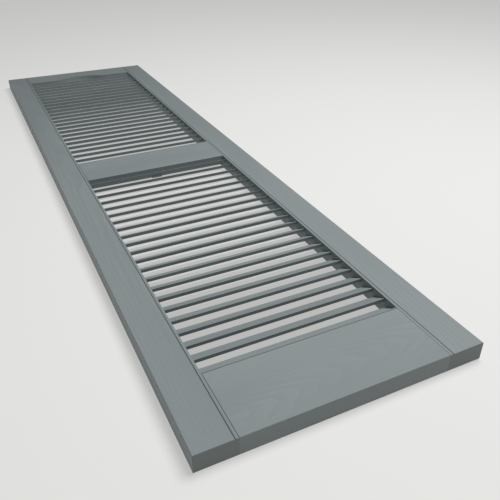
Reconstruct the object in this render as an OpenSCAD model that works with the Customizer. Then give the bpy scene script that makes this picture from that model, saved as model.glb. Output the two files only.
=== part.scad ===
// Louvred shutter: one painted timber panel with fixed louvres in two fields.
// It lies on its back. X runs across the panel, Y along it towards the top rail, Z up to the face.
// The origin is the middle of the back. All sizes are in millimetres.

/* [Panel] */
// Width across both stiles
panel_w = 406; // [330:1:500]
// Length from the bottom end to the top end
panel_l = 1536; // [1200:1:1660]
// Thickness of the stiles and rails
panel_t = 28; // [23:0.5:36]
// Radius on the outer arrises
arris_r = 1.2; // [0.5:0.1:2]
// Radius on the ends of the rails, where they meet the stiles
joint_r = 0.8; // [0.4:0.1:1.5]

/* [Stiles] */
// Width of each stile
stile_w = 55; // [45:1:75]
// Width of the bead along the inner edge of each stile
bead_w = 4; // [3:0.1:6]
// Width of the sunk line that sets the bead off, and of the lines along the rails
quirk_w = 1.5; // [0.8:0.1:2.5]
// Depth of that sunk line
quirk_depth = 1.4; // [0.6:0.1:2.2]

/* [Rails] */
// Width of the bottom rail
bottom_rail_w = 110; // [90:1:140]
// Distance from the bottom end of the panel to the lower edge of the middle rail
mid_rail_at = 715; // [560:1:900]
// Width of the middle rail
mid_rail_w = 93; // [75:1:120]
// Width of the top rail at its ends
top_rail_w = 70; // [58:1:100]
// Distance from the upper edges of the bottom and middle rails to the middle of the sunk line there
rail_line_in = 1.8; // [1.5:0.1:4]
// Rise of the arch in the lower edge of the top rail
arch_rise = 19; // [10:0.5:24]
// Span of that arch, over its shoulders
arch_span = 178; // [120:1:210]
// How far the shoulders of the arch run out below the rail's straight edge
arch_run_out = 0.25; // [0.1:0.05:1]

/* [Louvres] */
// Distance from one louvre to the next in the lower field
lower_pitch = 28.15; // [26:0.05:36]
// Distance from one louvre to the next in the upper field
upper_pitch = 27.7; // [26:0.05:36]
// Slope of a louvre's upper side below the face of the panel, in degrees
louvre_tilt = 28.5; // [22:0.5:34]
// Width of a louvre's upper side, from its front arris to its back arris
louvre_w = 27.5; // [24:0.5:31]
// Height of a louvre's front edge, which is cut square to the face of the panel
front_h = 6.2; // [5:0.1:7.5]
// Thickness of a louvre at its back edge
back_t = 3.5; // [2:0.1:4]
// Flat taken off each long arris of a louvre
louvre_chamfer = 0.4; // [0.2:0.1:0.8]
// Depth of a louvre's front arris below the face
front_inset = 2.6; // [1.5:0.1:4]
// Step from the bottom rail's edge back to the front of the lowest louvre
lower_set_back = 1.1; // [0.5:0.1:2]
// Step from the middle rail's edge out to the front of the next louvre
upper_set_out = 0.9; // [0.5:0.1:3]
// Least distance from the front of the last louvre to the rail above it
front_room = 5; // [2:0.5:9]

/* [Joints] */
// Depth of the slots in the stiles that hold the louvres
slot_depth = 8; // [5:0.5:12]
// Gap around a louvre in its slots and grooves, and under the rail that it runs into
louvre_clearance = 0.15; // [0.05:0.05:0.4]
// Gap between a louvre's end and the bottom of its slot
louvre_end_gap = 0.5; // [0.2:0.1:1.5]
// Gap between the last louvre's back edge and the wall of the rebate that it runs into
rebate_gap = 8.7; // [3:0.1:12]
// Diameter of the dowels between rails and stiles
dowel_d = 10; // [8:0.5:11]
// Length of a dowel
dowel_l = 70; // [50:1:80]
// Gap around a dowel
dowel_clearance = 0.1; // [0.05:0.05:0.3]
// Gap at each end of a dowel
dowel_end_gap = 1; // [0.5:0.1:3]

/* [Stop block] */
// Width of the small block at the back of the middle rail
block_w = 21; // [15:1:30]
// How far the block stands out from the wall of the rebate
block_out = 4; // [3:0.1:6]
// Height of the block off the back of the panel
block_h = 4.5; // [3:0.1:5]

/* [Hidden] */
$fn = 96;
// Overshoot of a cut past the face it opens through
past = 1;
paint = "#8a9292";
bare = "#c8a878";

// Places along the panel, measured from its middle
panel_bottom = -panel_l / 2;
panel_top = panel_l / 2;
bottom_rail_top = panel_bottom + bottom_rail_w;
mid_rail_bottom = panel_bottom + mid_rail_at;
mid_rail_top = mid_rail_bottom + mid_rail_w;
top_rail_bottom = panel_top - top_rail_w;

// The opening between the stiles
field_w = panel_w - 2 * stile_w;
louvre_l = field_w + 2 * (slot_depth - louvre_end_gap);

// The louvre's section about its front arris: front bottom, back bottom, back top, all in Y and Z
front_z = panel_t - front_inset;
back_top = louvre_w * [cos(louvre_tilt), -sin(louvre_tilt)];
back_bottom = back_top - back_t * [sin(louvre_tilt), cos(louvre_tilt)];
louvre_corners = [[0, 0], [0, -front_h], back_bottom, back_top];

function unit(v) = v / norm(v);
function corner(points, i) = points[(i + len(points)) % len(points)];
// An outline with a flat on each corner, its ends the given distance along the two sides
function chamfered(points, flat) = [
    for (i = [0:len(points) - 1], step = [-1, 1])
        points[i] + flat * unit(corner(points, i + step) - points[i])
];
// The way out of an anticlockwise outline through the side that starts at a corner
function outward(points, i) =
    let (side = unit(corner(points, i + 1) - corner(points, i))) [side[1], -side[0]];
// An outline with every side moved out by the gap given
function grown(points, gap) = [
    for (i = [0:len(points) - 1])
        let (before = outward(points, i - 1), after = outward(points, i))
            points[i] + gap * (before + after) / (1 + before * after)
];

// Louvres in each field: the first is set by the edge of the rail below, the rest follow at the pitch
lower_first = bottom_rail_top - lower_set_back;
upper_first = mid_rail_top + upper_set_out;
function louvres_between(first, rail_above, pitch) =
    1 + floor((rail_above - front_room - first) / pitch);
lower_count = louvres_between(lower_first, mid_rail_bottom, lower_pitch);
upper_count = louvres_between(upper_first, top_rail_bottom, upper_pitch);
lower_y = [for (i = [0:lower_count - 1]) lower_first + i * lower_pitch];
upper_y = [for (i = [0:upper_count - 1]) upper_first + i * upper_pitch];

// The rebates that clear the last louvre of each field, cut from the back
function rebate_end(last, rail_edge) = max(rail_edge, last + back_top[0] + rebate_gap);
// The height of a rebate: the louvre's upper side where it passes under the rail's edge
function rebate_height(dy) =
    front_z - dy * tan(louvre_tilt) + louvre_clearance / cos(louvre_tilt);
mid_rebate_end = rebate_end(lower_y[lower_count - 1], mid_rail_bottom);
top_rebate_end = rebate_end(upper_y[upper_count - 1], top_rail_bottom);
mid_rebate_h = rebate_height(mid_rail_bottom - lower_y[lower_count - 1]);
top_rebate_h = rebate_height(top_rail_bottom - upper_y[upper_count - 1]);

// The arch is a crown between two shoulders, arcs of one radius that meet halfway up
arch_half = arch_span / 2;
arch_h = arch_rise + arch_run_out;
arch_r = (arch_half ^ 2 + arch_h ^ 2) / (4 * arch_h);

// Dowel centres, two in each rail end, at the quarters of the timber clear of rebates and grooves
function quarters(low, high) = [low + (high - low) / 4, high - (high - low) / 4];
bottom_dowels_y = quarters(panel_bottom, lower_first);
mid_dowels_y = quarters(mid_rebate_end, mid_rail_top);
top_dowels_y = quarters(top_rebate_end, panel_top);

function two_digits(i) = str(i < 10 ? "0" : "", i);
function lower_name(i) = str("lower_louvre_", two_digits(i + 1));
function upper_name(i) = str("upper_louvre_", two_digits(i + 1));

// Takes one square corner off an outline; the corner is at the origin, the timber towards +X +Y
module eased_corner(r) {
    difference() {
        translate([-past, -past]) square(r + past);
        translate([r, r]) circle(r);
    }
}

// A louvre's section about its front arris, grown all round by the gap given
module louvre_section(gap = 0) {
    polygon(grown(chamfered(louvre_corners, louvre_chamfer), gap));
}

// A prism across the panel, from an outline drawn in Y and Z
module across(length) {
    translate([-length / 2, 0, 0]) rotate([90, 0, 90]) linear_extrude(length) children();
}

// A prism along the panel, from an outline drawn in X and Z
module along(length) {
    translate([0, length / 2, 0]) rotate([90, 0, 0]) linear_extrude(length) children();
}

// One louvre, with its front arris at the place given along the panel
module louvre_shape(y, gap = 0, length = louvre_l) {
    translate([0, y, front_z]) across(length) louvre_section(gap);
}

// A dowel or its hole on each side of a rail
module dowel_pair(y, gap = 0, end_gap = 0) {
    for (side = [-1, 1])
        translate([side * field_w / 2 - dowel_l / 2 - end_gap, y, panel_t / 2])
            rotate([0, 90, 0]) cylinder(h = dowel_l + 2 * end_gap, r = dowel_d / 2 + gap);
}

module dowel_holes(places) {
    for (y = places) dowel_pair(y, dowel_clearance, dowel_end_gap);
}

// An upright slice of timber, as thick as the panel, with its four corners eased
module eased_box(width, r) {
    difference() {
        square([width, panel_t]);
        eased_corner(r);
        translate([width, 0]) rotate(90) eased_corner(r);
        translate([width, panel_t]) rotate(180) eased_corner(r);
        translate([0, panel_t]) rotate(270) eased_corner(r);
    }
}

// The V cut of a sunk line, its middle at the origin, drawn at the height of the face
module sunk_line() {
    translate([0, panel_t - quirk_depth])
        polygon([[0, 0], [quirk_w, quirk_depth * 2], [-quirk_w, quirk_depth * 2]]);
}

// The right stile's section, with its inner edge at the left
module stile_section() {
    difference() {
        eased_box(stile_w, arris_r);
        translate([bead_w + quirk_w / 2, 0]) sunk_line();
    }
}

module right_stile_shape() {
    difference() {
        intersection() {
            translate([field_w / 2, 0, 0]) along(panel_l) stile_section();
            across(panel_w + 2 * past) rail_section(panel_bottom, panel_top);
        }
        for (y = concat(lower_y, upper_y))
            louvre_shape(y, louvre_clearance, field_w + 2 * slot_depth);
        dowel_holes(concat(bottom_dowels_y, mid_dowels_y, top_dowels_y));
    }
}

// A rail's section, with eased arrises or a sunk line at whichever edges are asked for
module rail_section(y0, y1, ease_low = true, ease_high = true, line_high = false) {
    difference() {
        translate([y0, 0]) square([y1 - y0, panel_t]);
        if (line_high) translate([y1 - rail_line_in, 0]) sunk_line();
        if (ease_low) {
            translate([y0, 0]) eased_corner(arris_r);
            translate([y0, panel_t]) rotate(270) eased_corner(arris_r);
        }
        if (ease_high) {
            translate([y1, 0]) rotate(90) eased_corner(arris_r);
            translate([y1, panel_t]) rotate(180) eased_corner(arris_r);
        }
    }
}

// A rebate cut from the back, along the lower edge of a rail
module rebate(rail_edge, end, height) {
    translate([rail_edge - past, -past]) square([end - rail_edge + past, height + past]);
}

// The opening under the arch, drawn in X and Y with the rail's straight edge at the origin
module arch_outline() {
    translate([0, -arch_run_out]) {
        difference() {
            translate([-arch_half, -past]) square([arch_span, arch_h / 2 + past]);
            for (side = [-1, 1]) translate([side * arch_half, arch_r]) circle(arch_r);
        }
        intersection() {
            translate([0, arch_h - arch_r]) circle(arch_r);
            translate([-arch_half, arch_h / 2]) square([arch_span, arch_h]);
        }
    }
}

module left_stile() {
    color(paint) mirror([1, 0, 0]) right_stile_shape();
}

module right_stile() {
    color(paint) right_stile_shape();
}

// A rail between the stiles, from its section in Y and Z, with its ends eased
module rail_bar() {
    intersection() {
        across(field_w) children();
        translate([-field_w / 2, 0, 0]) along(panel_l) eased_box(field_w, joint_r);
    }
}

module bottom_rail() {
    color(paint) difference() {
        rail_bar() rail_section(panel_bottom, bottom_rail_top, true, false, true);
        louvre_shape(lower_first, louvre_clearance, field_w + 2 * past);
        dowel_holes(bottom_dowels_y);
    }
}

module mid_rail() {
    color(paint) difference() {
        rail_bar() difference() {
            rail_section(mid_rail_bottom, mid_rail_top, false, false, true);
            rebate(mid_rail_bottom, mid_rebate_end, mid_rebate_h);
        }
        dowel_holes(mid_dowels_y);
    }
}

module top_rail() {
    color(paint) difference() {
        rail_bar() difference() {
            rail_section(top_rail_bottom, panel_top, false, true);
            rebate(top_rail_bottom, top_rebate_end, top_rebate_h);
        }
        translate([0, top_rail_bottom, -past]) linear_extrude(panel_t + 2 * past) arch_outline();
        dowel_holes(top_dowels_y);
    }
}

module bottom_rail_dowels() {
    color(bare) for (y = bottom_dowels_y) dowel_pair(y);
}

module mid_rail_dowels() {
    color(bare) for (y = mid_dowels_y) dowel_pair(y);
}

module top_rail_dowels() {
    color(bare) for (y = top_dowels_y) dowel_pair(y);
}

module stop_block() {
    color(paint) translate([-block_w / 2, mid_rebate_end - block_out, 0])
        cube([block_w, block_out, block_h]);
}

module louvre(y) {
    color(paint) louvre_shape(y);
}

left_stile();
right_stile();
bottom_rail();
mid_rail();
top_rail();
bottom_rail_dowels();
mid_rail_dowels();
top_rail_dowels();
stop_block();
for (i = [0:lower_count - 1])
    louvre(lower_y[i]);
for (i = [0:upper_count - 1])
    louvre(upper_y[i]);
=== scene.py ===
"""A painted timber louvred shutter: one panel, lying face up on a pale floor.

X runs across the panel, Y along it towards the top rail, Z up from its back. Sizes are in metres.
"""

import math

import bmesh
import bpy
from mathutils import Euler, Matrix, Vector


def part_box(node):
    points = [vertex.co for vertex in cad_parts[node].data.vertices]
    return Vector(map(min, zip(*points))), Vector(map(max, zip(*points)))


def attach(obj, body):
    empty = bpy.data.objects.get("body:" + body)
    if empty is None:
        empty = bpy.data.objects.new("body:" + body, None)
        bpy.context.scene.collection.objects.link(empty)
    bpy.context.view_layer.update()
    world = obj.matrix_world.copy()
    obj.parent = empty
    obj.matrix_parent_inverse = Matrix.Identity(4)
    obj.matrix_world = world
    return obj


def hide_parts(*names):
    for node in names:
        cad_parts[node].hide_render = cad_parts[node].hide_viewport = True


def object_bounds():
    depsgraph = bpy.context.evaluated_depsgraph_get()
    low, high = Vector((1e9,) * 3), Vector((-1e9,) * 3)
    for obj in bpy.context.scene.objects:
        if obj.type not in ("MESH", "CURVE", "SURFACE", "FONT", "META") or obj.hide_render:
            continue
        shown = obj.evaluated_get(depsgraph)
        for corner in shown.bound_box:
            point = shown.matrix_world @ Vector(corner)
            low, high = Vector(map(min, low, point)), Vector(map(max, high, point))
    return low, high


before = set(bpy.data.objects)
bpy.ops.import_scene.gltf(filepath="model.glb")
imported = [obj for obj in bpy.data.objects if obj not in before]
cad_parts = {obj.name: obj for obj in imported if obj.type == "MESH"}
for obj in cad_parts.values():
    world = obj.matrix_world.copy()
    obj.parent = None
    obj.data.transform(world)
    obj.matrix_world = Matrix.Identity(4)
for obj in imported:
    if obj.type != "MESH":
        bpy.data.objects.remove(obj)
CAD_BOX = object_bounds()
MM = 0.001

# Driving sizes, as the frame gives them
PANEL_LOW, PANEL_HIGH = CAD_BOX
PANEL_W = PANEL_HIGH.x - PANEL_LOW.x
PANEL_T = PANEL_HIGH.z - PANEL_LOW.z

# The louvre's section: a front edge square to the face, sides that close towards the back, small flats
LOUVRE_W = 27.5 * MM
LOUVRE_TILT = math.radians(28.5)
LOUVRE_INSET = 2.6 * MM
FRONT_H = 6.2 * MM
BACK_T = 3.5 * MM
LOUVRE_CHAMFER = 0.4 * MM

# Wood's patterns are long and thin: each share is a pattern's width over its length along the board
RING_SHARE = 0.15
FIBRE_SHARE = 0.025
FLECK_SHARE = 0.1
FIBRES_PER_M = 900.0  # each about 1 mm wide, like the brush marks and the flecks
CLOUDS_PER_M = 11.0  # each about 90 mm wide
FIBRE_DEPTH = 0.9  # as a share of a ring's depth
RELIEF_DEPTH = 0.2 * MM
RELIEF_TONE = 0.55  # how much the relief weighs in the tone, beside the clouds
BOARD_TONE = 0.3  # how much the louvres differ from each other
BOARD_SHIFT = (0.9, 0.0, 0.05)  # the most that a louvre's grain moves, in metres

# The camera's place in panel widths from the middle of the near end, and its turn in degrees
CAMERA_PLACE = Vector((-0.799, -0.947, 1.3063))
CAMERA_TURN = (57.935, -0.103, -26.129)
CAMERA_LENS = 41.89
CAMERA_SHIFT = (-0.001, 0.001)


# ---------------------------------------------------------------- colour and nodes


def linear(hex_colour):
    """An sRGB hex colour as linear RGBA."""
    parts = [int(hex_colour[i : i + 2], 16) / 255 for i in (1, 3, 5)]
    return [c / 12.92 if c <= 0.04045 else ((c + 0.055) / 1.055) ** 2.4 for c in parts] + [1.0]


def add(tree, kind, settings=None, **inputs):
    """Adds a node: settings are its properties, inputs its sockets by name or as _ and a number, each given
    a value or another node's output."""
    made = tree.nodes.new(kind)
    for name, value in (settings or {}).items():
        setattr(made, name, value)
    for name, value in inputs.items():
        socket = made.inputs[int(name[1:])] if name[1:].isdigit() else made.inputs[name.replace("_", " ")]
        if isinstance(value, bpy.types.NodeSocket):
            tree.links.new(value, socket)
        else:
            socket.default_value = value
    return made


# ---------------------------------------------------------------- finishes


def new_material(name):
    material = bpy.data.materials.new(name)
    material.use_nodes = True
    material.node_tree.nodes.clear()
    return material, material.node_tree


def finish_material(tree, surface):
    out = add(tree, "ShaderNodeOutputMaterial")
    tree.links.new(surface, out.inputs["Surface"])


def place_in_tree(tree, along, heart, lean, board):
    """Each point's place in the tree that its board was cut from, with X along the tree's heart line."""
    place = add(tree, "ShaderNodeTexCoord").outputs["Object"]
    if board is not None:
        shift = add(tree, "ShaderNodeVectorMath", {"operation": "SCALE"}, _0=BOARD_SHIFT, Scale=board)
        place = add(tree, "ShaderNodeVectorMath", _0=place, _1=shift.outputs[0]).outputs[0]
    lift, turn = (math.radians(a) for a in lean)
    if along == "Y":
        turn += math.pi / 2
    return add(
        tree,
        "ShaderNodeMapping",
        {"vector_type": "TEXTURE"},
        Vector=place,
        Location=heart,
        Rotation=(0.0, lift, turn),
    ).outputs[0]


def pine_grain(tree, place, ring_mm):
    """The height of rings and fibres under the paint, and the broad clouds that brushing leaves."""
    stretch = {"operation": "MULTIPLY"}
    long_grain, fine_grain = (
        add(tree, "ShaderNodeVectorMath", stretch, _0=place, _1=(share, 1.0, 1.0)).outputs[0]
        for share in (RING_SHARE, FIBRE_SHARE)
    )
    clouds = add(tree, "ShaderNodeTexNoise", Vector=long_grain, Scale=CLOUDS_PER_M, Detail=2.0).outputs["Fac"]
    fibres = add(tree, "ShaderNodeTexNoise", Vector=fine_grain, Scale=FIBRES_PER_M, Detail=2.0).outputs["Fac"]
    # The wave turns 20 radians in a unit of scaled length, so this scale makes a ring every ring_mm
    rings = add(
        tree,
        "ShaderNodeTexWave",
        {"wave_type": "RINGS", "rings_direction": "X", "wave_profile": "SAW"},
        Vector=long_grain,
        Scale=math.pi / 10 / (ring_mm * MM),
        Distortion=4.2,
        Detail=2.0,
        Detail_Scale=0.9,
    ).outputs["Fac"]
    # The rings show in patches and fade out between them
    patches = add(tree, "ShaderNodeMapRange", Value=clouds, From_Min=0.35, From_Max=0.55).outputs["Result"]
    rings = add(tree, "ShaderNodeMath", {"operation": "MULTIPLY"}, _0=rings, _1=patches).outputs[0]
    relief = add(tree, "ShaderNodeMath", {"operation": "MULTIPLY_ADD"}, _0=fibres, _1=FIBRE_DEPTH, _2=rings)
    return relief.outputs[0], clouds


def end_grain_and_shade(tree, along):
    """1 on a board's sawn ends and 0 on its sides. It masks the ends' darker colour, which is real end grain
    and also painted shade on the panel's near end face.
    """
    facing = add(tree, "ShaderNodeTexCoord").outputs["Normal"]
    board_axis = (1.0, 0.0, 0.0) if along == "X" else (0.0, 1.0, 0.0)
    end_on = add(tree, "ShaderNodeVectorMath", {"operation": "DOT_PRODUCT"}, _0=facing, _1=board_axis)
    return add(tree, "ShaderNodeMath", {"operation": "POWER"}, _0=end_on.outputs["Value"], _1=4.0).outputs[0]


def satin_paint_on_pine(name, along, heart, ring_mm, lean, each_board=False):
    """Satin alkyd paint, brushed over flat-sawn pine. It has little gloss, and the soft rings sink under it,
    so the grain shows as faint arches and ripples. The sawn ends drink it and dry darker, and their darker
    colour is also painted shade on the panel's near end face. along is the axis of the board's length, X
    or Y. heart is a point of the tree's heart line, in metres, and lean is how many degrees that line lifts
    and turns from that axis. each_board shifts the grain and the tone by the attribute "board"."""
    material, tree = new_material(name)
    board = None
    if each_board:
        board = add(tree, "ShaderNodeAttribute", {"attribute_name": "board"}).outputs["Fac"]
    relief, clouds = pine_grain(tree, place_in_tree(tree, along, heart, lean, board), ring_mm)
    tone = clouds
    sum_up = {"operation": "MULTIPLY_ADD"}
    for part, weight in ((relief, RELIEF_TONE), (0.5 if board is None else board, BOARD_TONE)):
        tone = add(tree, "ShaderNodeMath", sum_up, _0=part, _1=weight, _2=tone).outputs[0]
    share = add(tree, "ShaderNodeMapRange", Value=tone, From_Min=0.65, From_Max=1.65).outputs["Result"]
    colour = add(
        tree, "ShaderNodeMixRGB", Fac=share, Color1=linear("#838B8C"), Color2=linear("#8E9697")
    ).outputs["Color"]
    # The sawn ends' darker colour: end grain that drinks the paint, and also painted shade on the near end
    # face
    colour = add(
        tree, "ShaderNodeMixRGB", Fac=end_grain_and_shade(tree, along), Color1=colour, Color2=linear("#7D8484")
    ).outputs["Color"]
    bump = add(tree, "ShaderNodeBump", Height=relief, Strength=0.3, Distance=RELIEF_DEPTH).outputs[0]
    surface = add(
        tree,
        "ShaderNodeBsdfPrincipled",
        Base_Color=colour,
        Roughness=0.5,
        Specular_IOR_Level=0.2,
        Normal=bump,
    )
    finish_material(tree, surface.outputs[0])
    return material


def bare_beech(name):
    """Beech dowel, turned and left bare: pale, with short darker flecks along it."""
    material, tree = new_material(name)
    place = add(tree, "ShaderNodeTexCoord").outputs["Object"]
    stretched = add(
        tree, "ShaderNodeVectorMath", {"operation": "MULTIPLY"}, _0=place, _1=(FLECK_SHARE, 1.0, 1.0)
    ).outputs[0]
    flecks = add(tree, "ShaderNodeTexNoise", Vector=stretched, Scale=FIBRES_PER_M, Detail=3.0).outputs["Fac"]
    share = add(tree, "ShaderNodeMapRange", Value=flecks, From_Min=0.35, From_Max=0.65).outputs["Result"]
    colour = add(
        tree, "ShaderNodeMixRGB", Fac=share, Color1=linear("#B98F62"), Color2=linear("#D9B98C")
    ).outputs["Color"]
    surface = add(tree, "ShaderNodeBsdfPrincipled", Base_Color=colour, Roughness=0.65)
    finish_material(tree, surface.outputs[0])
    return material


def matt_floor(name):
    """The top of a light table: pale, matt and even, and lit from below, so it stays light under the
    shutter."""
    material, tree = new_material(name)
    surface = add(
        tree,
        "ShaderNodeBsdfPrincipled",
        Base_Color=linear("#9E9E9C"),
        Roughness=0.9,
        Emission_Color=linear("#F4F4F2"),
        Emission_Strength=0.5,
    )
    finish_material(tree, surface.outputs[0])
    return material


# ---------------------------------------------------------------- louvres


def louvre_outline():
    """The section's points about its front arris, in Y and Z, in order round it."""
    c, s = math.cos(LOUVRE_TILT), math.sin(LOUVRE_TILT)
    back_top = Vector((LOUVRE_W * c, -LOUVRE_W * s))
    corners = [Vector((0, 0)), Vector((0, -FRONT_H)), back_top - BACK_T * Vector((s, c)), back_top]
    points = []
    for i, corner in enumerate(corners):
        for other in (corners[i - 1], corners[(i + 1) % 4]):
            points.append(corner + LOUVRE_CHAMFER * (other - corner).normalized())
    return points


def louvre_board(length, material):
    """One louvre about its front arris, lying across the panel."""
    outline = louvre_outline()
    mesh = bpy.data.meshes.new("louvre_board")
    work = bmesh.new()
    rows = [[work.verts.new((x, p.x, p.y)) for p in outline] for x in (-length / 2, length / 2)]
    n = len(outline)
    for i in range(n):
        j = (i + 1) % n
        work.faces.new((rows[0][i], rows[0][j], rows[1][j], rows[1][i]))
    for row in rows:
        work.faces.new(row)
    bmesh.ops.recalc_face_normals(work, faces=work.faces)
    work.to_mesh(mesh)
    work.free()
    board = bpy.data.objects.new("louvre_board", mesh)
    bpy.context.scene.collection.objects.link(board)
    mesh.materials.append(material)
    return board


def louvre_row_tree():
    """Geometry Nodes that set a row of louvres: First, Pitch, Count, Height, Board, Paint."""
    tree = bpy.data.node_groups.new("louvre_row", "GeometryNodeTree")
    sockets = tree.interface
    sockets.new_socket("Geometry", in_out="INPUT", socket_type="NodeSocketGeometry")
    for name, kind in (
        ("First", "NodeSocketFloat"),
        ("Pitch", "NodeSocketFloat"),
        ("Count", "NodeSocketInt"),
        ("Height", "NodeSocketFloat"),
        ("Board", "NodeSocketObject"),
        ("Paint", "NodeSocketMaterial"),
    ):
        sockets.new_socket(name, in_out="INPUT", socket_type=kind)
    sockets.new_socket("Geometry", in_out="OUTPUT", socket_type="NodeSocketGeometry")
    given = add(tree, "NodeGroupInput").outputs
    start = add(tree, "ShaderNodeCombineXYZ", X=0.0, Y=given["First"], Z=given["Height"]).outputs[0]
    step = add(tree, "ShaderNodeCombineXYZ", X=0.0, Y=given["Pitch"], Z=0.0).outputs[0]
    places = add(
        tree,
        "GeometryNodeMeshLine",
        {"mode": "OFFSET"},
        Count=given["Count"],
        Start_Location=start,
        Offset=step,
    ).outputs["Mesh"]
    board = add(tree, "GeometryNodeObjectInfo", Object=given["Board"]).outputs["Geometry"]
    chance = add(tree, "FunctionNodeRandomValue", {"data_type": "FLOAT"}, Seed=3)
    marked = add(
        tree,
        "GeometryNodeStoreNamedAttribute",
        {"data_type": "FLOAT", "domain": "POINT"},
        Geometry=places,
        Name="board",
        Value=next(o for o in chance.outputs if o.enabled and o.type == "VALUE"),
    ).outputs["Geometry"]
    row = add(tree, "GeometryNodeInstanceOnPoints", Points=marked, Instance=board).outputs["Instances"]
    real = add(tree, "GeometryNodeRealizeInstances", Geometry=row).outputs["Geometry"]
    painted = add(tree, "GeometryNodeSetMaterial", Geometry=real, Material=given["Paint"]).outputs["Geometry"]
    out = add(tree, "NodeGroupOutput")
    tree.links.new(painted, out.inputs["Geometry"])
    return tree


def louvre_row(tree, field, paint):
    """All of one field's louvres as one piece, set where the frame's louvres are."""
    nodes = sorted(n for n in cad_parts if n.startswith(field))
    boxes = [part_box(n) for n in nodes]
    first = boxes[0][0].y
    pitch = (boxes[-1][0].y - boxes[0][0].y) / (len(nodes) - 1)
    board = louvre_board(boxes[0][1].x - boxes[0][0].x, paint)
    holder = bpy.data.objects.new(field + "_holder", bpy.data.meshes.new(field + "_holder"))
    bpy.context.scene.collection.objects.link(holder)
    modifier = holder.modifiers.new("louvre_row", "NODES")
    modifier.node_group = tree
    ids = {s.name: s.identifier for s in tree.interface.items_tree if s.in_out == "INPUT"}
    for name, value in (
        ("First", first),
        ("Pitch", pitch),
        ("Count", len(nodes)),
        ("Height", PANEL_T - LOUVRE_INSET),
        ("Board", board),
        ("Paint", paint),
    ):
        modifier[ids[name]] = value
    bpy.context.view_layer.update()
    seen = holder.evaluated_get(bpy.context.evaluated_depsgraph_get())
    mesh = bpy.data.meshes.new_from_object(seen)
    row = bpy.data.objects.new(field + "s", mesh)
    bpy.context.scene.collection.objects.link(row)
    for spare in (holder, board):
        bpy.data.objects.remove(spare, do_unlink=True)
    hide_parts(*nodes)
    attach(row, "root")


# ---------------------------------------------------------------- stage


def make_floor():
    half = 40.0
    corners = [(-half, -half, 0), (half, -half, 0), (half, half, 0), (-half, half, 0)]
    mesh = bpy.data.meshes.new("floor")
    mesh.from_pydata(corners, [], [(0, 1, 2, 3)])
    floor = bpy.data.objects.new("floor", mesh)
    bpy.context.scene.collection.objects.link(floor)
    mesh.materials.append(matt_floor("floor_matt"))


def make_key(place, aim, size, power):
    """One large round light, so that the shadows stay soft."""
    data = bpy.data.lights.new("key", "AREA")
    data.shape = "DISK"
    data.size = size
    data.energy = power
    light = bpy.data.objects.new("key", data)
    light.location = place
    light.rotation_euler = (Vector(aim) - Vector(place)).to_track_quat("-Z", "Y").to_euler()
    bpy.context.scene.collection.objects.link(light)


def make_studio():
    """A dim white room with the key light over the panel's right side."""
    scene = bpy.context.scene
    scene.view_settings.view_transform = "Standard"
    world = bpy.data.worlds.new("studio")
    world.use_nodes = True
    background = world.node_tree.nodes["Background"].inputs
    background["Color"].default_value = linear("#F4F4F2")
    background["Strength"].default_value = 0.12
    scene.world = world
    make_key(place=(0.75, -0.4, 2.2), aim=(0, -0.65, 0), size=1.5, power=55)


def make_camera():
    """Above the near left corner, looking along the panel and down on it."""
    data = bpy.data.cameras.new("camera")
    data.lens = CAMERA_LENS
    data.sensor_width = 36.0
    data.shift_x, data.shift_y = CAMERA_SHIFT
    data.clip_start = 0.01
    camera = bpy.data.objects.new("camera", data)
    camera.location = Vector((0, PANEL_LOW.y, 0)) + PANEL_W * CAMERA_PLACE
    camera.rotation_euler = Euler([math.radians(a) for a in CAMERA_TURN])
    bpy.context.scene.collection.objects.link(camera)
    bpy.context.scene.camera = camera


# ---------------------------------------------------------------- the shutter


def paint_node(name, material):
    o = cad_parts[name]
    o.data.materials.clear()
    o.data.materials.append(material)


def centre_of(name):
    low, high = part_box(name)
    return (low + high) / 2


# Each board's grain: the axis of its length, where the heart line passes from the board's middle in metres,
# the ring's width in millimetres, and how many degrees the heart line lifts and turns
BOARDS = {
    "left_stile": ("Y", (0.03, -0.35, -0.05), 4.0, (1.5, 2.5)),
    "right_stile": ("Y", (-0.03, 0.25, -0.05), 4.0, (-1.0, -1.0)),
    "bottom_rail": ("X", (0.02, -0.015, -0.05), 3.0, (5.0, 6.0)),
    "mid_rail": ("X", (0.04, 0.02, -0.05), 3.2, (-3.0, -2.0)),
    "top_rail": ("X", (0.0, -0.04, -0.05), 3.2, (2.0, 2.0)),
    "stop_block": ("X", (0.0, 0.0, -0.05), 3.0, (0.0, 0.0)),
}
# The same for the louvres, but from the panel's middle
LOUVRE_BOARD = ("X", (0.0, 0.0, -0.08), 4.0, (1.5, 1.0))


def main():
    for name, (along, heart, ring_mm, lean) in BOARDS.items():
        heart = centre_of(name) + Vector(heart)
        paint_node(name, satin_paint_on_pine("satin_paint_" + name, along, heart, ring_mm, lean))
    dowels = bare_beech("beech_bare")
    for name in ("bottom_rail_dowels", "mid_rail_dowels", "top_rail_dowels"):
        paint_node(name, dowels)
    along, heart, ring_mm, lean = LOUVRE_BOARD
    paint = satin_paint_on_pine("satin_paint_louvres", along, heart, ring_mm, lean, each_board=True)
    tree = louvre_row_tree()
    for field in ("lower_louvre", "upper_louvre"):
        louvre_row(tree, field, paint)


main()
make_floor()
make_studio()
make_camera()
